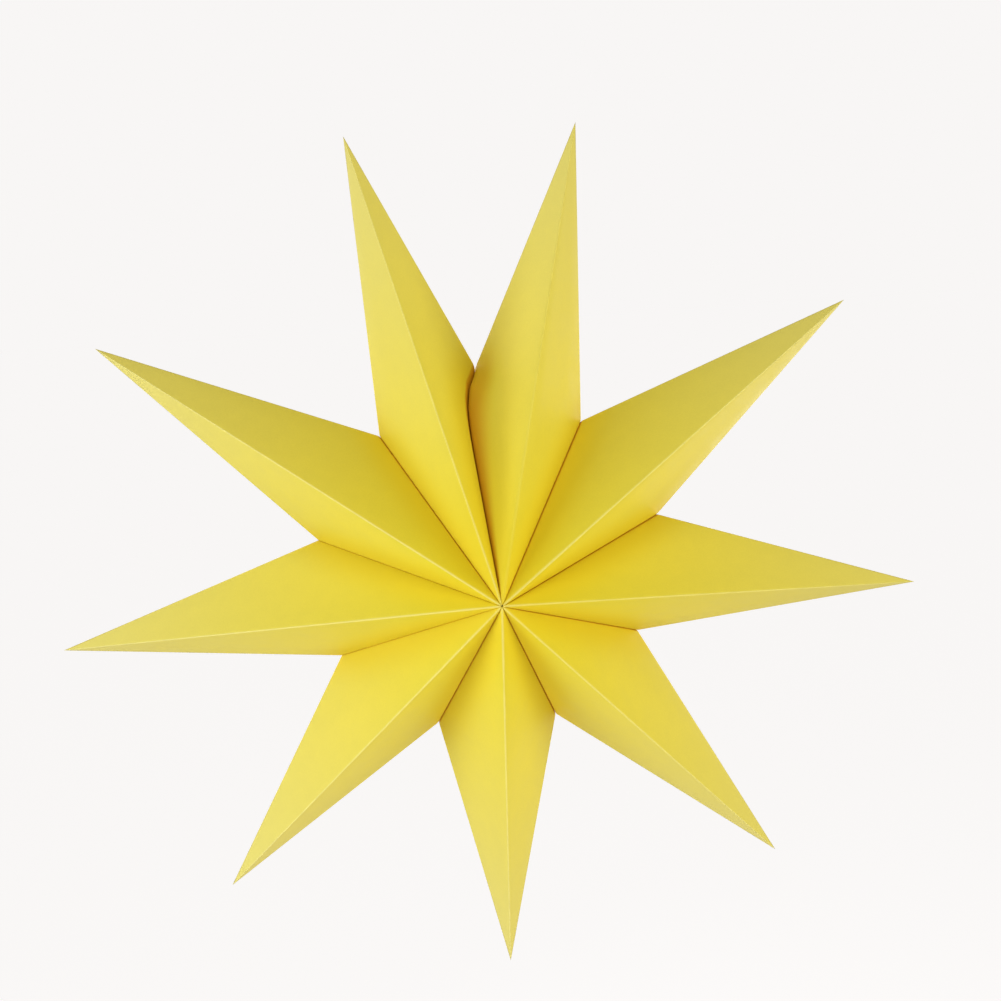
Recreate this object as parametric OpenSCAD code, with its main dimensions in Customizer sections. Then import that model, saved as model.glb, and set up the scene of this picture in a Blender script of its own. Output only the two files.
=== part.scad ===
// Nine-pointed paper star. Each ray is one sheet of card, creased into a hollow
// four-sided point. Glue flaps inside the valleys hold each ray to its neighbours,
// and a softer closing seam joins the last ray to the first at the top.

/* [Star] */
// Diameter of the circle through the tips of the open star
open_span = 300; // [200:1:500]
// Depth at the centre, between the points where the ridges of each face would meet
depth = 97; // [60:1:140]
// Number of rays in the ring
ray_count = 9; // [7:1:12]
// Distance from the centre to the notch between two glued rays
notch_r = 60; // [40:1:90]
// How far the front hub stands to the right of the middle, and the back hub to the left
hub_shift = 2; // [-4:0.5:4]

/* [Closing seam] */
// Angle between the two rays that close the ring
seam_angle = 29; // [20:1:40]
// Distance from the centre to the notch at the closing seam
seam_notch_r = 69.5; // [45:0.5:95]
// How far the seam leans over towards the last ray
seam_bulge = 4.7; // [0:0.1:7]
// Length over which the first ray's flank rolls into the seam, where the seam leans most
seam_roll = 18; // [2:0.5:24]
// Depth inside the seam at which that roll has become the flap
seam_tuck = 3; // [2:0.5:6]
// Room between the two flaps at the notch of the seam
seam_gap = 0.4; // [0.2:0.1:1.5]

/* [Card] */
// Thickness of the card
card_t = 0.35; // [0.2:0.05:0.6]
// Width of a glue flap, measured level towards the centre
flap_w = 15; // [10:1:25]
// Length over which a panel bends into its glue flap
fold_w = 1.4; // [0.4:0.1:2]
// Length of a valley that the crease along the outline takes up
crease_w = 1.2; // [0.5:0.1:3]
// Room between two glued flaps
glue_gap = 0.05; // [0.02:0.01:0.2]
// Radius of the pinhole left at the centre
hub_r = 0.5; // [0.3:0.1:2]

/* [Hidden] */
// How far each ray stands off even spacing, in degrees, as the star was opened by hand
ray_swing = [0, -0.5, 1, -0.75, -0.75, -0.75, 0, 0.5, 0];
// How far each notch between glued rays stands off notch_r, for the same reason
notch_shift = [0, 1.5, -2, -0.5, 0, 1.5, 0.5, -0.5];
// The seam's lean grows evenly from the centre; the higher this is, the later it returns to the notch
lean_power = 12;
// Straight pieces along a seam edge, round a fold, round half an outline crease and round a ridge
seam_steps = 14;
fold_steps = 4;
outline_steps = 1;
ridge_steps = 4;

tip = [open_span / 2, 0, 0];
half_depth = depth / 2;
joint_angle = (360 - seam_angle) / (ray_count - 1);
// Distance from the centre at which the valleys end and the ridges turn blunt
blunt_r = 3 * hub_r;
// Thickest the card may be where the rays crowd together, as a share of the distance from the axis
pinch = 0.4 * sin(min(joint_angle, seam_angle) / 2);
// Longest a fold may be there, as a share of the same distance
fold_share = 0.8;
rings = fold_steps + 2;
// Where the seam leans most, as a share of its length
lean_place = pow(1 / (lean_power + 1), 1 / lean_power);
// Carries the front to the right and the back to the left, in step with the distance from the middle
hub_lean = [[1, 0, hub_shift / half_depth, 0], [0, 1, 0, 0], [0, 0, 1, 0], [0, 0, 0, 1]];

function unit(v) = v / norm(v);

function backwards(list) = [for (k = [len(list) - 1:-1:0]) list[k]];

// A point on the curve from a to b that rounds off corner c
function bend(a, c, b, t) = (1 - t) * (1 - t) * a + 2 * t * (1 - t) * c + t * t * b;

// Direction of a ray, counted clockwise from the seam, seen from the front
function ray_angle(i) =
    90 - seam_angle / 2 - i * joint_angle + ray_swing[i % len(ray_swing)];

// Angle from ray i to the next ray round the ring
function gap_angle(i) =
    i == ray_count - 1 ? ray_angle(i) + 360 - ray_angle(0) : ray_angle(i) - ray_angle(i + 1);

// A side of a ray: direction of its valley, notch distance, lean, longest fold, and room at the notch
function seam_side(angle, fold) = [angle, seam_notch_r, seam_bulge, fold, seam_gap];
function glued_side(angle, joint) =
    [angle, notch_r + notch_shift[joint % len(notch_shift)], 0, fold_w, glue_gap];

function left_side(i) =
    i == 0 ? seam_side(gap_angle(ray_count - 1) / 2, seam_roll) : glued_side(gap_angle(i - 1) / 2, i - 1);

function right_side(i) =
    i == ray_count - 1 ? seam_side(-gap_angle(i) / 2, fold_w) : glued_side(-gap_angle(i) / 2, i);

// Lean of the seam at distance s along it, as a share of its most
function lean(s) = s * (1 - pow(s, lean_power)) / (lean_place * (1 - pow(lean_place, lean_power)));

// The valley point at distance s along a side and height z, both as shares of the whole
function valley_point(side, s, z) =
    let(
        outward = [cos(side[0]), sin(side[0]), 0],
        across = [-sin(side[0]), cos(side[0]), 0],
        inset = -sign(side[0]) * (glue_gap + (side[4] - glue_gap) * s) / 2
    )
    s * side[1] * outward + (side[2] * lean(s) + inset) * across + [0, 0, z * half_depth];

// Shares [s, z] along the front valley of a side, from the blunt centre to the outline crease
function valley_shares(side) =
    let(
        first = blunt_r / side[1],
        last = 1 - crease_w / norm([side[1], half_depth]),
        steps = side[2] == 0 ? 1 : seam_steps
    )
    [
        for (k = [0:steps - 1])
            let(s = first + (last - first) * k / steps)
            [s, 1 - s],
        for (k = [0:outline_steps])
            let(t = k / (2 * outline_steps + 1))
            [bend(last, 1, last, t), (1 - last) * ((1 - t) * (1 - t) - t * t)]
    ];

// Length of the fold at distance s along a side
function fold_at(side, s) = fold_w + (side[3] - fold_w) * lean(s);

// The card at valley point c: from its panel, over the fold, to the free edge of its glue flap
function card_strip(c, fold) =
    let(
        from_axis = norm([c.x, c.y]),
        inward = [-c.x, -c.y, 0] / from_axis,
        flap = min(flap_w, from_axis - hub_r),
        reach = min(fold, fold_share * from_axis),
        start = c + reach * unit(tip - c),
        end = c + min(reach, seam_tuck, flap / 2) * inward
    )
    [
        for (k = [0:fold_steps]) bend(start, c, end, k / fold_steps),
        c + flap * inward
    ];

function side_strips(side) =
    [for (f = valley_shares(side)) card_strip(valley_point(side, f[0], f[1]), fold_at(side, f[0]))];

// The blunt inner end of the front ridge, between the two valleys
function ridge_strips(right, left) =
    let(
        a = valley_point(right, blunt_r / right[1], 1 - blunt_r / right[1]),
        b = valley_point(left, blunt_r / left[1], 1 - blunt_r / left[1])
    )
    [for (k = [1:ridge_steps - 1]) card_strip(bend(a, [0, 0, half_depth], b, k / ridge_steps), fold_w)];

function flipped(strip) = [for (p = strip) [p.x, p.y, -p.z]];

// Strips right round a ray: the front from right to left, then the back from left to right
function ray_strips(i) =
    let(
        right = right_side(i),
        left = left_side(i),
        front = concat(backwards(side_strips(right)), ridge_strips(right, left), side_strips(left))
    )
    concat(front, backwards([for (s = front) flipped(s)]));

// Outward direction of the card at point j of strip k
function card_normal(strips, k, j) =
    let(
        n = len(strips),
        along = strips[(k + 1) % n][j] - strips[(k + n - 1) % n][j],
        down = j == 0 ? strips[k][0] - tip : strips[k][min(j + 1, rings - 1)] - strips[k][j - 1]
    )
    unit(cross(along, down));

function card_at(p) = min(card_t, pinch * norm([p.x, p.y]));

// One ray lying along +X with its front up: an outer and an inner skin joined at the flap edges
module folded_ray(strips) {
    n = len(strips);
    outer = [for (s = strips) for (p = s) p];
    inner = [
        for (k = [0:n - 1]) for (j = [0:rings - 1])
            let(p = strips[k][j])
            p - card_at(p) * card_normal(strips, k, j)
    ];
    slope = card_normal(strips, 1, 0).x;
    apexes = [tip, tip - [card_t / slope, 0, 0]];
    grid = n * rings;
    panels = [
        for (k = [0:n - 1])
            let(a = k * rings, b = ((k + 1) % n) * rings)
            each [[2 * grid, a, b], [2 * grid + 1, grid + b, grid + a]]
    ];
    // The quads of the back are split as a mirror image of those of the front
    folds = [
        for (k = [0:n - 1]) for (j = [0:rings - 2])
            let(
                a = k * rings + j,
                b = ((k + 1) % n) * rings + j,
                halves = k < n / 2 ? [[a, b + 1, b], [a, a + 1, b + 1]] : [[a, a + 1, b], [b, a + 1, b + 1]]
            )
            each concat(halves, [for (f = halves) [grid + f[0], grid + f[2], grid + f[1]]])
    ];
    edges = [
        for (k = [0:n - 1])
            let(a = (k + 1) * rings - 1, b = (k + 1) % n * rings + rings - 1)
            each [[a, grid + b, b], [a, grid + a, grid + b]]
    ];
    polyhedron(points = concat(outer, inner, apexes), faces = concat(panels, folds, edges));
}

// A ray in its place, with the star upright, its front towards -Y and its seam notch at the origin
module ray(i) {
    color([0.93, 0.85, 0.33])
        translate([0, 0, -seam_notch_r])
            rotate([90, 0, 0])
                multmatrix(hub_lean)
                    rotate(ray_angle(i))
                        folded_ray(ray_strips(i));
}

for (i = [0:ray_count - 1])
    ray(i);
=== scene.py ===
# Paper star of nine folded card rays: its surfaces, light and camera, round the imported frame.
import math
from collections import namedtuple

import bpy
import numpy as np
from mathutils import Matrix, Vector


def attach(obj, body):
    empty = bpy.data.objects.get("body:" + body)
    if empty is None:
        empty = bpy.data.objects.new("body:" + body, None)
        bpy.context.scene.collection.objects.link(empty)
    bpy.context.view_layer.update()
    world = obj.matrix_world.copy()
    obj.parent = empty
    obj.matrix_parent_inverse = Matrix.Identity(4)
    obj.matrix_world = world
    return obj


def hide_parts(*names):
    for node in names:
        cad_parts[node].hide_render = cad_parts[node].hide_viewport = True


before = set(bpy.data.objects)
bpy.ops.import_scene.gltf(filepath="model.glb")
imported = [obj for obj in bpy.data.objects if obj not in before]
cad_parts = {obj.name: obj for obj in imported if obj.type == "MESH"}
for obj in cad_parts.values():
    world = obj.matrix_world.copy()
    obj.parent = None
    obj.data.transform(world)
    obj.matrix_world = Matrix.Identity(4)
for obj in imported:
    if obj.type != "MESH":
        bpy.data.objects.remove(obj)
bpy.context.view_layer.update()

# The star, in millimetres, with its axis along Z and its front up, as the part is designed
MM = 0.001
# Diameter of the circle through the tips, and depth between the points where each face's ridges would meet
OPEN_SPAN = 300
DEPTH = 97
RAY_COUNT = 9
# Distance from the centre to the notch between two glued rays
NOTCH_R = 60
# How far the front hub stands to the right of the middle and below it, and the back hub to the left and above
HUB_SHIFT = 2.6
HUB_DROP = 1.1
# Radius of the pinhole, and distance from the axis at which the valleys end and the ridges turn blunt
HUB_R = 0.3
BLUNT_R = 1.5

# The card: thickness, width of a glue flap, length of a fold into it, length of a valley that the crease
# along the outline takes up, and room between two glued flaps
CARD_T = 0.35
FLAP_W = 15
FOLD_W = 1.4
CREASE_W = 1.2
GLUE_GAP = 0.05
# Near the axis: the thickest card as a share of half a ray's room, and the longest fold as a share of the
# distance from the axis
CARD_SHARE = 0.4
FOLD_SHARE = 0.8

# The closing seam: the angle between its two rays, its notch, how far it leans over towards the last ray, the
# length over which the first ray's flank rolls in, the depth at which that roll has become the flap, the room
# between the flaps at the notch, and its outline crease
SEAM_ANGLE = 29
SEAM_NOTCH_R = 69.5
SEAM_BULGE = 4.7
SEAM_ROLL = 18
SEAM_TUCK = 3
SEAM_GAP = 0.4
SEAM_CREASE_W = 0.5
# The higher this is, the later the seam's lean returns to the notch
LEAN_POWER = 12
# Distance from the seam over which its lean dies away in the first ray's flank. Where a straight seam would
# stand lower than LEAN_FULL_H over the outline, the distance is shorter, down to the share LEAN_LEAST.
LEAN_REACH = 24
LEAN_FULL_H = 15
LEAN_LEAST = 0.1

# What differs from ray to ray and from joint to joint, because the star was folded and opened by hand.
# Degrees by which each ray stands off even spacing
RAY_SWING = (0, -0.5, 1, -0.75, -0.75, -0.75, 0, 0.5, 0)
# How far each notch between glued rays stands off NOTCH_R
NOTCH_SHIFT = (0, 1.5, -2, -0.5, 0, 1.5, 0.5, -0.5)
# Length of the folds at each joint. A fold shorter than FOLD_W brings the notch out, so its corner is set in by
# the share NOTCH_PER_FOLD of the difference.
JOINT_FOLD = (1.0, 0.9, 0.7, 0.9, 0.9, 0.5, 0.45, 0.9)
NOTCH_PER_FOLD = 0.7
# How strong the painted shade in the groove at each joint and at the seam is, weakest at the two joints that
# face the left light
JOINT_GROOVE_SHADE = (1, 1, 1, 1, 1, 0.4, 0.3, 0.9)
SEAM_GROOVE_SHADE = 1
# Height over the outline under which the first ray's rolled flank has less painted groove shade, and the share
# of it that is left at the notch
GROOVE_SHADE_FULL_H = 16
NOTCH_GROOVE_SHADE = 0.2
# How much each ridge is rubbed, and how far its blunt end is pulled to the right
RIDGE_RUB = (0.15, 1.0, 0.9, 0.8, 0.8, 0.8, 1.0, 1.0, 0.6)
RIDGE_PULL = (0.8, 0, 0, 0, 0, 0, 0, 0, 0)

# Fineness: steps along the seam, along a straight valley, round half an outline crease and round a ridge's end
SEAM_STEPS = 14
STRAIGHT_STEPS = 4
OUTLINE_STEPS = 1
RIDGE_STEPS = 4
# Rows down a panel as shares of the way from the tip, with one close to the tip
PANEL_STEPS = 30
FIRST_SHARE = 0.01
PANEL_SHARES = np.concatenate([[FIRST_SHARE], np.linspace(0, 1, PANEL_STEPS + 1)[1:]])
PANEL_ROWS = len(PANEL_SHARES)
# Rows round a fold and down a flap, and points of a valley from which distances are taken
FOLD_STEPS = 6
FLAP_ROWS = 3
VALLEY_SAMPLES = 160

TIP = np.array([OPEN_SPAN / 2, 0, 0])
HALF_DEPTH = DEPTH / 2
FRONT = np.array([0, 0, HALF_DEPTH])
TO_BACK = np.array([1, 1, -1])
JOINT_ANGLE = (360 - SEAM_ANGLE) / (RAY_COUNT - 1)
# Where the seam leans most, as a share of its length
LEAN_PLACE = (1 / (LEAN_POWER + 1)) ** (1 / LEAN_POWER)
# Thickest the card may be, as a share of the distance from the axis
PINCH = CARD_SHARE * math.sin(math.radians(min(JOINT_ANGLE, SEAM_ANGLE) / 2))

# A side of a ray: direction of its valley, notch distance, lean, longest fold, room at the notch, and painted
# groove shade
Side = namedtuple("Side", "angle notch lean fold gap brown")


def ray_angle(i):
    """Direction of a ray in degrees, counted clockwise from the seam, seen from the front."""
    return 90 - SEAM_ANGLE / 2 - i * JOINT_ANGLE + RAY_SWING[i]


def gap_angle(i):
    """Angle from ray i to the next ray round the ring."""
    if i == RAY_COUNT - 1:
        return ray_angle(i) + 360 - ray_angle(0)
    return ray_angle(i) - ray_angle(i + 1)


def glued_side(angle, joint):
    fold = JOINT_FOLD[joint]
    notch = NOTCH_R + NOTCH_SHIFT[joint] - NOTCH_PER_FOLD * (FOLD_W - fold)
    return Side(angle, notch, 0, fold, GLUE_GAP, JOINT_GROOVE_SHADE[joint])


def seam_side(angle, fold):
    return Side(angle, SEAM_NOTCH_R, SEAM_BULGE, fold, SEAM_GAP, SEAM_GROOVE_SHADE)


def left_side(i):
    if i == 0:
        return seam_side(gap_angle(RAY_COUNT - 1) / 2, SEAM_ROLL)
    return glued_side(gap_angle(i - 1) / 2, i - 1)


def right_side(i):
    if i == RAY_COUNT - 1:
        return seam_side(-gap_angle(i) / 2, FOLD_W)
    return glued_side(-gap_angle(i) / 2, i)


def lean(s):
    """Lean of the seam at distance s along it, as a share of its most."""
    return s * (1 - s ** LEAN_POWER) / (LEAN_PLACE * (1 - LEAN_PLACE ** LEAN_POWER))


def seam_lift():
    """Rise of the last ray's flat panel for each millimetre across from a straight seam."""
    half = math.radians(gap_angle(RAY_COUNT - 1) / 2)
    rise = (1 / SEAM_NOTCH_R - math.cos(half) / TIP[0]) / math.tan(half)
    return HALF_DEPTH * (rise - math.sin(half) / TIP[0])


def bend(a, c, b, t):
    """A point on the curve from a to b that rounds off corner c."""
    return (1 - t) ** 2 * a + 2 * t * (1 - t) * c + t ** 2 * b


def unit(v):
    return v / np.linalg.norm(v, axis=-1, keepdims=True)


def valley_points(side, s, z):
    """Points at distances s along a side's valley and heights z, both as shares of the whole.

    The leaning seam stays on the last ray's panel, so it rises as it leans.
    """
    angle = math.radians(side.angle)
    outward = np.array([math.cos(angle), math.sin(angle), 0])
    across = np.array([-math.sin(angle), math.cos(angle), 0])
    up = np.array([0, 0, 1])
    room = GLUE_GAP + (side.gap - GLUE_GAP) * s
    offset = side.lean * lean(s) - math.copysign(0.5, side.angle) * room
    height = HALF_DEPTH * z + seam_lift() * side.lean * lean(s)
    return np.outer(s * side.notch, outward) + np.outer(offset, across) + np.outer(height, up)


def side_columns(side):
    """Valley points, fold lengths, lean and painted groove shade along the front of a side.

    They run from the blunt centre to the outline. The lean is given for the first ray's rolled flank, and is
    nothing elsewhere.
    """
    rolled = side.lean and side.angle > 0
    crease = SEAM_CREASE_W if side.lean else CREASE_W
    steps = SEAM_STEPS if side.lean else STRAIGHT_STEPS
    first = BLUNT_R / side.notch
    last = 1 - crease / math.hypot(side.notch, HALF_DEPTH)
    straight = np.linspace(first, last, steps + 1)[:-1]
    t = np.arange(OUTLINE_STEPS + 1) / (2 * OUTLINE_STEPS + 1)
    s = np.concatenate([straight, bend(last, 1, last, t)])
    z = np.concatenate([1 - straight, (1 - last) * ((1 - t) ** 2 - t ** 2)])
    points = valley_points(side, s, z)
    fold = np.full(len(s), float(side.fold))
    if side.lean:
        fold = FOLD_W + (side.fold - FOLD_W) * lean(s)
    leaning = np.zeros_like(points)
    brown = np.full(len(s), float(side.brown))
    if rolled:
        leaning = points - valley_points(side._replace(lean=0), s, z)
        brown = brown * np.clip(points[:, 2] / GROOVE_SHADE_FULL_H, NOTCH_GROOVE_SHADE, 1)
    return points, fold, leaning, brown


def ray_columns(i):
    """Valley points, fold lengths, lean and painted groove shade right round a ray.

    The front comes first, from right to left, and then the back.
    """
    right, right_fold, right_lean, right_groove_shade = side_columns(right_side(i))
    left, left_fold, left_lean, left_groove_shade = side_columns(left_side(i))
    t = np.arange(1, RIDGE_STEPS)[:, None] / RIDGE_STEPS
    ridge = bend(right[0], FRONT + RIDGE_PULL[i] * (right[0] - FRONT), left[0], t)
    ridge_fold = np.full(len(ridge), right_fold[0])
    ridge_groove_shade = np.full(len(ridge), (right_groove_shade[0] + left_groove_shade[0]) / 2)
    corner = np.concatenate([right[::-1], ridge, left])
    fold = np.concatenate([right_fold[::-1], ridge_fold, left_fold])
    leaning = np.concatenate([right_lean[::-1], np.zeros_like(ridge), left_lean])
    brown = np.concatenate([right_groove_shade[::-1], ridge_groove_shade, left_groove_shade])
    return (
        np.concatenate([corner, corner[::-1] * TO_BACK]),
        np.concatenate([fold, fold[::-1]]),
        np.concatenate([leaning, leaning[::-1] * TO_BACK]),
        np.concatenate([brown, brown[::-1]]),
    )


def card_grid(corner, fold):
    """Rows of points from next to the tip, down the panels, over the folds, to the flap edges.

    With them comes how far each point lies up its panel from the valley, in millimetres and as a share of the
    way to the tip.
    """
    level = np.linalg.norm(corner[:, :2], axis=1)
    inward = corner * [-1, -1, 0] / level[:, None]
    flap = np.minimum(FLAP_W, level - HUB_R)
    reach = np.minimum(fold, FOLD_SHARE * level)
    length = np.linalg.norm(TIP - corner, axis=1)
    start = corner + reach[:, None] * unit(TIP - corner)
    end = corner + np.minimum(np.minimum(reach, SEAM_TUCK), flap / 2)[:, None] * inward
    edge = corner + flap[:, None] * inward
    rows = [TIP + (start - TIP) * t for t in PANEL_SHARES]
    away = [length - (length - reach) * t for t in PANEL_SHARES]
    for t in np.linspace(0, 1, FOLD_STEPS + 1)[1:]:
        rows.append(bend(start, corner, end, t))
        away.append((1 - t) ** 2 * reach)
    for t in np.linspace(0, 1, FLAP_ROWS + 1)[1:]:
        rows.append(end + (edge - end) * t)
        away.append(0 * reach)
    return np.array(rows), np.array(away), np.array(away) / length


def card_normals(grid):
    along = np.roll(grid, -1, axis=1) - np.roll(grid, 1, axis=1)
    down = np.gradient(grid, axis=0)
    down[0] = grid[0] - TIP
    return unit(np.cross(along, down))


def card_skins(i):
    """Tips, outer grid and inner grid of a ray's sheet, and how strong the painted shade in the groove at each
    column is.
    """
    corner, fold, leaning, brown = ray_columns(i)
    outer, away, away_share = card_grid(corner, fold)
    normals = card_normals(outer)
    thickness = np.minimum(CARD_T, PINCH * np.linalg.norm(outer[..., :2], axis=-1))
    inner = outer - thickness[..., None] * normals
    slope = normals[0, OUTLINE_STEPS + 2, 0]
    tips = np.array([TIP, TIP - [CARD_T / slope, 0, 0]])
    inner[:PANEL_ROWS] = tips[1] + (inner[PANEL_ROWS - 1] - tips[1]) * PANEL_SHARES[:, None, None]
    straight_height = np.abs(corner[:, 2] - leaning[:, 2])
    reach = LEAN_REACH * np.clip(straight_height / LEAN_FULL_H, LEAN_LEAST, 1)
    faded = np.clip(away / reach, 0, 1)
    faded = faded ** 2 * (3 - 2 * faded) * (1 - away_share)
    lost = faded[..., None] * leaning
    return tips, outer - lost, inner - lost, brown


def line_distance(points, a, b):
    """Distance of points from the line through a and b."""
    return np.linalg.norm(np.cross(points - a, unit(b - a)), axis=-1)


def valley_distance(points, i):
    """Distance of points from the nearer of a ray's two front valleys."""
    s = np.linspace(0, 1, VALLEY_SAMPLES)
    valleys = np.concatenate([valley_points(side, s, 1 - s) for side in (left_side(i), right_side(i))])
    return np.array([np.linalg.norm(valleys - p, axis=1).min() for p in points])


def to_frame(points, i):
    """Points of ray i from its own place, along +X with its front up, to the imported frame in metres."""
    turn = math.radians(ray_angle(i))
    x = points[:, 0] * math.cos(turn) - points[:, 1] * math.sin(turn)
    z = points[:, 0] * math.sin(turn) + points[:, 1] * math.cos(turn)
    x = x + points[:, 2] * HUB_SHIFT / HALF_DEPTH
    z = z - points[:, 2] * HUB_DROP / HALF_DEPTH
    return np.stack([x, -points[:, 2], z - SEAM_NOTCH_R], axis=1) * MM


def skin_faces(rows, cols, first, apex, outward):
    """Triangles from an apex to the first row of a grid, and quads down the grid."""
    faces = []
    for k in range(cols):
        n = (k + 1) % cols
        faces.append((apex, first + k, first + n))
        for j in range(rows - 1):
            a = first + j * cols
            faces.append((a + k, a + cols + k, a + cols + n, a + n))
    return faces if outward else [f[::-1] for f in faces]


def sheet_faces(rows, cols):
    """Faces of both skins and along the flap edges, for points that start with the two tips."""
    out_first = 2
    in_first = out_first + rows * cols
    faces = skin_faces(rows, cols, out_first, 0, True) + skin_faces(rows, cols, in_first, 1, False)
    last = (rows - 1) * cols
    for k in range(cols):
        a = last + k
        b = last + (k + 1) % cols
        faces.append((out_first + a, in_first + a, in_first + b, out_first + b))
    return faces


def add_attributes(mesh, points, i, rows, brown):
    """Stores what the card's colours go by at each point: distances, shares, the painted groove shade, and how
    rubbed it is.
    """
    height = np.abs(points[:, 2])
    on_front = np.column_stack([points[:, :2], height])
    into_fold = np.clip((np.arange(rows) - PANEL_ROWS + 1) / FOLD_STEPS, 0, 1)
    groove = np.tile(np.repeat(into_fold, len(brown)), 2)
    values = {
        "ridge_mm": line_distance(on_front, TIP, FRONT),
        "outline_mm": height,
        "valley_mm": valley_distance(on_front, i),
        "groove": np.concatenate([[0, 0], groove]),
        "brown": np.concatenate([[0, 0], np.tile(brown, 2 * rows)]),
        "ridge_rub": np.full(len(points), float(RIDGE_RUB[i])),
        "tip_share": np.linalg.norm(points[:, :2], axis=1) / TIP[0],
    }
    for name, numbers in values.items():
        attribute = mesh.attributes.new(name, "FLOAT", "POINT")
        attribute.data.foreach_set("value", numbers.astype(np.float32))


def add_ray(i, material):
    """One ray as a sheet with an outer and an inner skin, joined along the edges of its flaps."""
    tips, outer, inner, brown = card_skins(i)
    rows, cols = outer.shape[:2]
    points = np.concatenate([tips, outer.reshape(-1, 3), inner.reshape(-1, 3)])
    mesh = bpy.data.meshes.new(f"star_ray_{i + 1}")
    mesh.from_pydata(to_frame(points, i).tolist(), [], sheet_faces(rows, cols))
    mesh.polygons.foreach_set("use_smooth", [True] * len(mesh.polygons))
    add_attributes(mesh, points, i, rows, brown)
    mesh.update()
    mesh.validate()
    mesh.materials.append(material)
    piece = bpy.data.objects.new(mesh.name, mesh)
    bpy.context.collection.objects.link(piece)
    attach(piece, "root")
    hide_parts(f"ray_{i + 1}")


# Colours of the card, rubbed paler along the ridges, with painted shade and painted sheen among them
# Painted shade: the deeper yellow in the shelter of the hub, where light bounces between the rays
HUB_SHADE_YELLOW = (0.78, 0.650, 0.024, 1)
# Painted sheen: the paler yellow towards the tips
TIP_SHEEN_YELLOW = (0.77, 0.670, 0.150, 1)
# Painted shade: the deeper yellow beside each valley
VALLEY_SHADE_YELLOW = (0.79, 0.600, 0.012, 1)
# Painted shade: brown in the fold grooves between the rays
GROOVE_SHADE_BROWN = (0.66, 0.350, 0.012, 1)
RIDGE_YELLOW = (0.83, 0.755, 0.240, 1)
# A darker, duller line along the outline crease
OUTLINE_BROWN = (0.50, 0.410, 0.110, 1)
# Shares of the way to the tip between which the painted shade of the hub turns into the painted sheen of the
# tips
HUB_SHADE_TO_TIP_SHEEN = (0.1, 0.95)
# Scale and detail of the clouds in the dye, the fibres and the uneven rubbing
CLOUD_NOISE = (180, 5)
FIBRE_NOISE = (2200, 3)
RUB_NOISE = (90, 3)
# The part of a noise's range that is used, and the shade and roughness that it gives
NOISE_SPAN = (0.3, 0.7)
CLOUD_SHADE = (0.975, 1.0)
FIBRE_SHADE = (-0.02, 0.02)
ROUGHNESS = (0.56, 0.64)
# Reach in millimetres of the painted shade beside each valley, and its most
VALLEY_SHADE_REACH = 14
VALLEY_SHADE_MOST = 0.7
# Share of the way into a fold at which the groove's painted shade is fully brown
GROOVE_FULL = 0.6
# Shares of the way to the tip between which the groove's painted shade sets in, and how much of it is left at
# the hub
HUB_FADE = (0.008, 0.04)
HUB_GROOVE_SHADE = 0.1
# Width of a rubbed ridge in millimetres at the hub and at the tip, how far that varies, how soft its sides are,
# and how strong it is at its middle
RIDGE_WIDTH = (1.0, 0.4)
RIDGE_UNEVEN = (0.8, 1.2)
RIDGE_SOFT = (0.1, 1)
RIDGE_MOST = 0.75
# Distance from the outline in millimetres over which its dull line fades, and its most
OUTLINE_SOFT = (0.1, 0.45)
OUTLINE_MOST = 0.6
CARD_SPECULAR = 0.2
BUMP_STRENGTH = 0.25
BUMP_HEIGHT = 0.1 * MM


class Nodes:
    """Short ways to add nodes to a material and link them."""

    def __init__(self, tree):
        self.tree = tree

    def add(self, kind, **settings):
        node = self.tree.nodes.new(kind)
        for name, value in settings.items():
            setattr(node, name, value)
        return node

    def put(self, value, socket):
        """Links a socket to an input, or writes a constant there."""
        if isinstance(value, bpy.types.NodeSocket):
            self.tree.links.new(value, socket)
        else:
            socket.default_value = value

    def attribute(self, name):
        return self.add("ShaderNodeAttribute", attribute_name=name).outputs["Fac"]

    def noise(self, place, scale, detail):
        node = self.add("ShaderNodeTexNoise")
        self.put(place, node.inputs["Vector"])
        self.put(scale, node.inputs["Scale"])
        self.put(detail, node.inputs["Detail"])
        return node.outputs["Fac"]

    def math(self, operation, a, b):
        node = self.add("ShaderNodeMath", operation=operation)
        self.put(a, node.inputs[0])
        self.put(b, node.inputs[1])
        return node.outputs[0]

    def ramp(self, value, span, result, smooth=False):
        """The value carried from one span of numbers onto another, and held at its ends."""
        node = self.add("ShaderNodeMapRange", interpolation_type="SMOOTHSTEP" if smooth else "LINEAR")
        self.put(value, node.inputs["Value"])
        for name, number in zip(("From Min", "From Max", "To Min", "To Max"), (*span, *result)):
            self.put(number, node.inputs[name])
        return node.outputs["Result"]

    def blend(self, factor, a, b, kind="MIX"):
        node = self.add("ShaderNodeMix", data_type="RGBA", blend_type=kind)
        sockets = {s.identifier: s for s in node.inputs}
        self.put(factor, sockets["Factor_Float"])
        self.put(a, sockets["A_Color"])
        self.put(b, sockets["B_Color"])
        return next(s for s in node.outputs if s.identifier == "Result_Color")


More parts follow.
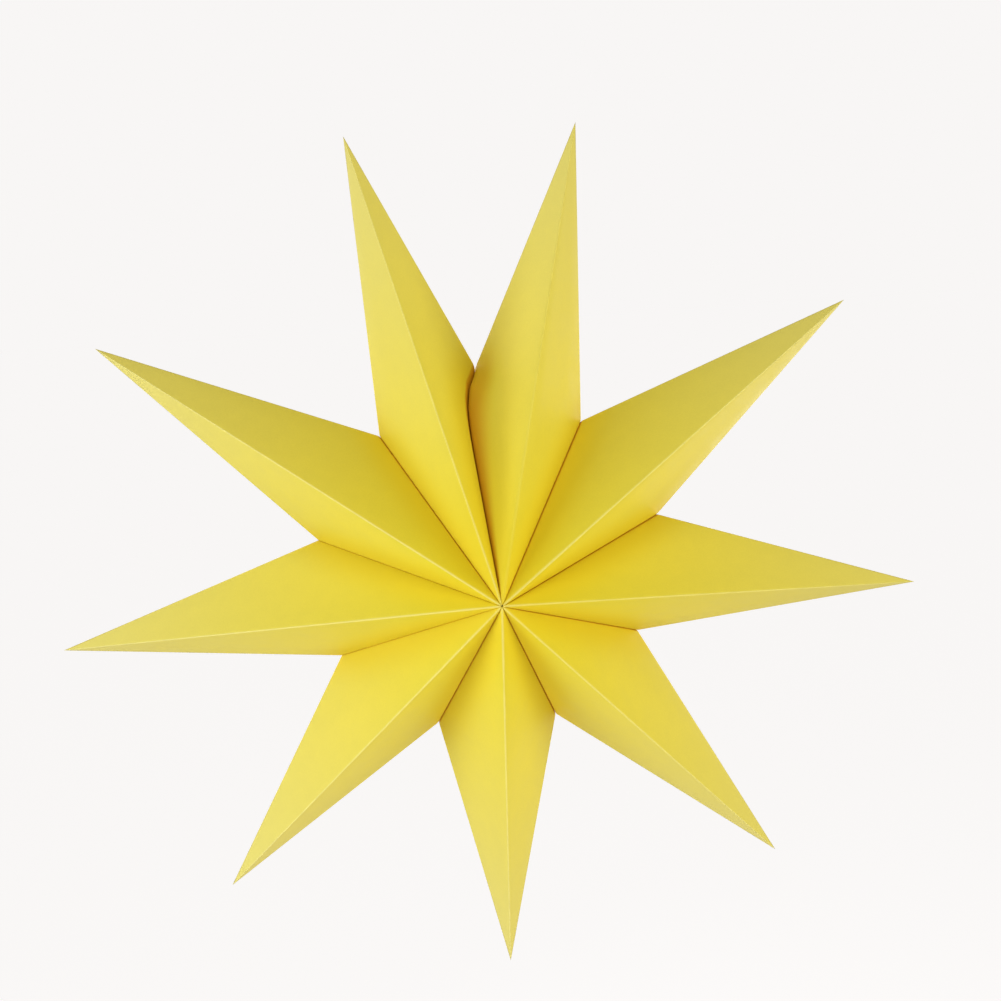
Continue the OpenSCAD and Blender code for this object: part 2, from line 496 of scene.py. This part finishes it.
def card_material():
    """Matte dyed card: cloudy fibres, painted shade and painted sheen, a paler rubbed line along each ridge and
    a dull one along the outline.
    """
    material = bpy.data.materials.new("yellow_card")
    material.use_nodes = True
    nodes = Nodes(material.node_tree)
    shader = material.node_tree.nodes["Principled BSDF"]
    place = nodes.add("ShaderNodeTexCoord").outputs["Object"]
    tip_share = nodes.attribute("tip_share")
    cloud = nodes.noise(place, *CLOUD_NOISE)
    fibre = nodes.noise(place, *FIBRE_NOISE)
    rub = nodes.noise(place, *RUB_NOISE)

    # Painted shade near the hub, fading into painted sheen towards the tips
    colour = nodes.blend(nodes.ramp(tip_share, HUB_SHADE_TO_TIP_SHEEN, (0, 1)), HUB_SHADE_YELLOW, TIP_SHEEN_YELLOW)
    cloud_shade = nodes.ramp(cloud, NOISE_SPAN, CLOUD_SHADE)
    fibre_shade = nodes.ramp(fibre, NOISE_SPAN, FIBRE_SHADE)
    colour = nodes.blend(1.0, colour, nodes.math("ADD", cloud_shade, fibre_shade), "MULTIPLY")

    # Painted shade beside the valleys
    valley_shade = nodes.ramp(nodes.attribute("valley_mm"), (0, VALLEY_SHADE_REACH), (VALLEY_SHADE_MOST, 0), smooth=True)
    colour = nodes.blend(valley_shade, colour, VALLEY_SHADE_YELLOW)
    # Painted shade in the fold grooves, fainter at the hub
    in_groove = nodes.ramp(nodes.attribute("groove"), (0, GROOVE_FULL), (0, 1), smooth=True)
    brown = nodes.math("MULTIPLY", nodes.attribute("brown"), nodes.ramp(tip_share, HUB_FADE, (HUB_GROOVE_SHADE, 1)))
    colour = nodes.blend(nodes.math("MULTIPLY", in_groove, brown), colour, GROOVE_SHADE_BROWN)

    even_width = nodes.ramp(tip_share, (0, 1), RIDGE_WIDTH)
    width = nodes.math("MULTIPLY", even_width, nodes.ramp(rub, NOISE_SPAN, RIDGE_UNEVEN))
    from_ridge = nodes.math("DIVIDE", nodes.attribute("ridge_mm"), width)
    on_ridge = nodes.ramp(from_ridge, RIDGE_SOFT, (RIDGE_MOST, 0), smooth=True)
    colour = nodes.blend(nodes.math("MULTIPLY", on_ridge, nodes.attribute("ridge_rub")), colour, RIDGE_YELLOW)
    on_outline = nodes.ramp(nodes.attribute("outline_mm"), OUTLINE_SOFT, (OUTLINE_MOST, 0), smooth=True)
    colour = nodes.blend(on_outline, colour, OUTLINE_BROWN)
    nodes.put(colour, shader.inputs["Base Color"])

    nodes.put(nodes.ramp(cloud, NOISE_SPAN, ROUGHNESS), shader.inputs["Roughness"])
    shader.inputs["Specular IOR Level"].default_value = CARD_SPECULAR
    bump = nodes.add("ShaderNodeBump")
    bump.inputs["Strength"].default_value = BUMP_STRENGTH
    bump.inputs["Distance"].default_value = BUMP_HEIGHT
    nodes.put(nodes.math("ADD", fibre, cloud), bump.inputs["Height"])
    nodes.put(bump.outputs["Normal"], shader.inputs["Normal"])
    return material


# The photograph's frame and the camera that was fitted to it: pixels, metres and degrees
FRAME_PX = 1001
FOCAL_PX = 1061.2
SENSOR_MM = 36
CENTRE_PX = (489.3, 566.6)
CAMERA_DISTANCE = 0.3682
CAMERA_AZIMUTH = -0.58
CAMERA_ELEVATION = 13.45
CAMERA_ROLL = 3.92
STAR_CENTRE = Vector((0, 0, -SEAM_NOTCH_R * MM))


def add_camera():
    """A camera that sees the star's centre at CENTRE_PX, from the fitted direction and distance."""
    azimuth = math.radians(CAMERA_AZIMUTH)
    elevation = math.radians(CAMERA_ELEVATION)
    back = Vector((
        math.sin(azimuth) * math.cos(elevation),
        -math.cos(azimuth) * math.cos(elevation),
        math.sin(elevation),
    ))
    right = Vector((0, 0, 1)).cross(back).normalized()
    level = Matrix((right, back.cross(right), back))
    roll = Matrix.Rotation(math.radians(CAMERA_ROLL), 3, "Z")
    half = FRAME_PX / 2
    aim = Vector(((CENTRE_PX[0] - half) / FOCAL_PX, (half - CENTRE_PX[1]) / FOCAL_PX, -1))
    pan = Vector((0, 0, -1)).rotation_difference(aim).to_matrix()
    to_camera = pan @ roll @ level
    data = bpy.data.cameras.new("camera")
    data.sensor_width = SENSOR_MM
    data.lens = FOCAL_PX / FRAME_PX * SENSOR_MM
    camera = bpy.data.objects.new("camera", data)
    place = Matrix.Translation(STAR_CENTRE + back * CAMERA_DISTANCE)
    camera.matrix_world = place @ to_camera.transposed().to_4x4()
    bpy.context.collection.objects.link(camera)
    bpy.context.scene.camera = camera


# The light: an even pale surround, and soft boxes that face the star's centre. A box's level is the brightness
# that it alone gives a white card facing it there.
BACKDROP = (0.9387, 0.9216, 0.9131)
COOL_WHITE = (0.96, 1.0, 1.25)
ROSE_WHITE = (1.0, 0.955, 1.2)
PLAIN_WHITE = (1.0, 0.98, 0.95)
WARM_WHITE = (1.0, 0.96, 0.72)
WORLD_LEVEL = 0.22
SoftBox = namedtuple("SoftBox", "place width level tint")
SOFT_BOXES = {
    "left_box": SoftBox((-0.50, -0.30, -0.05), 0.35, 0.66, COOL_WHITE),
    "low_box": SoftBox((0.0, -0.35, -0.50), 0.4, 0.51, ROSE_WHITE),
    "right_box": SoftBox((0.50, -0.30, -0.05), 0.35, 0.34, WARM_WHITE),
    "far_right_box": SoftBox((0.85, -0.45, -0.05), 0.5, 0.21, WARM_WHITE),
    "top_box": SoftBox((0.0, -0.60, 0.70), 0.5, 0.32, WARM_WHITE),
    "back_left_box": SoftBox((-0.55, 0.85, 0.15), 0.6, 0.65, PLAIN_WHITE),
    "back_right_box": SoftBox((0.55, 0.85, -0.20), 0.6, 0.55, PLAIN_WHITE),
}
# The floor lies well below the hung star
FLOOR_Z = -1.2
FLOOR_SIZE = 400
FLOOR_WHITE = 0.3


def seen_directly(nodes):
    """One for rays from the camera, from gloss and through glass, which see the plain backdrop."""
    path = nodes.add("ShaderNodeLightPath")
    seen = nodes.math("MAXIMUM", path.outputs["Is Camera Ray"], path.outputs["Is Glossy Ray"])
    return nodes.math("MAXIMUM", seen, path.outputs["Is Transmission Ray"])


def add_world():
    """An even light all round, seen as the pale backdrop."""
    world = bpy.data.worlds.new("world")
    bpy.context.scene.world = world
    world.use_nodes = True
    nodes = Nodes(world.node_tree)
    light = world.node_tree.nodes["Background"]
    light.inputs["Color"].default_value = (*WARM_WHITE, 1)
    light.inputs["Strength"].default_value = WORLD_LEVEL
    backdrop = nodes.add("ShaderNodeBackground")
    backdrop.inputs["Color"].default_value = (*BACKDROP, 1)
    mix = nodes.add("ShaderNodeMixShader")
    nodes.put(seen_directly(nodes), mix.inputs[0])
    nodes.put(light.outputs[0], mix.inputs[1])
    nodes.put(backdrop.outputs[0], mix.inputs[2])
    nodes.put(mix.outputs[0], world.node_tree.nodes["World Output"].inputs["Surface"])


def floor_material():
    """Pale and matte. Where only the surround lights it, its glow makes it look as pale as the backdrop."""
    material = bpy.data.materials.new("floor")
    material.use_nodes = True
    # The floor glows only for the eye, so no light is looked for there
    material.cycles.emission_sampling = "NONE"
    nodes = Nodes(material.node_tree)
    shader = material.node_tree.nodes["Principled BSDF"]
    shader.inputs["Base Color"].default_value = (FLOOR_WHITE, FLOOR_WHITE, FLOOR_WHITE, 1)
    shader.inputs["Roughness"].default_value = 1
    shader.inputs["Specular IOR Level"].default_value = 0
    lit = [FLOOR_WHITE * WORLD_LEVEL * c for c in WARM_WHITE]
    shader.inputs["Emission Color"].default_value = (*(b - c for b, c in zip(BACKDROP, lit)), 1)
    nodes.put(seen_directly(nodes), shader.inputs["Emission Strength"])
    return material


def add_floor():
    """A wide pale floor below the hung star, which takes light and shadow."""
    half = FLOOR_SIZE / 2
    corners = [(x, y, FLOOR_Z) for x, y in ((-half, -half), (half, -half), (half, half), (-half, half))]
    mesh = bpy.data.meshes.new("floor")
    mesh.from_pydata(corners, [], [(0, 1, 2, 3)])
    mesh.materials.append(floor_material())
    floor = bpy.data.objects.new("floor", mesh)
    bpy.context.collection.objects.link(floor)


def add_soft_boxes():
    for name, box in SOFT_BOXES.items():
        away = Vector(box.place) - STAR_CENTRE
        lamp = bpy.data.lights.new(name, "AREA")
        lamp.color = box.tint
        lamp.size = box.width
        # A flat lamp of P watts gives a white card facing it from d metres a brightness of P / (pi * d) ** 2
        lamp.energy = box.level * math.pi ** 2 * away.length_squared
        holder = bpy.data.objects.new(name, lamp)
        holder.location = box.place
        holder.rotation_euler = away.to_track_quat("Z", "Y").to_euler()
        holder.visible_camera = False
        bpy.context.collection.objects.link(holder)


bpy.context.scene.view_settings.view_transform = "Standard"
card = card_material()
for index in range(RAY_COUNT):
    add_ray(index, card)
add_world()
add_floor()
add_soft_boxes()
add_camera()
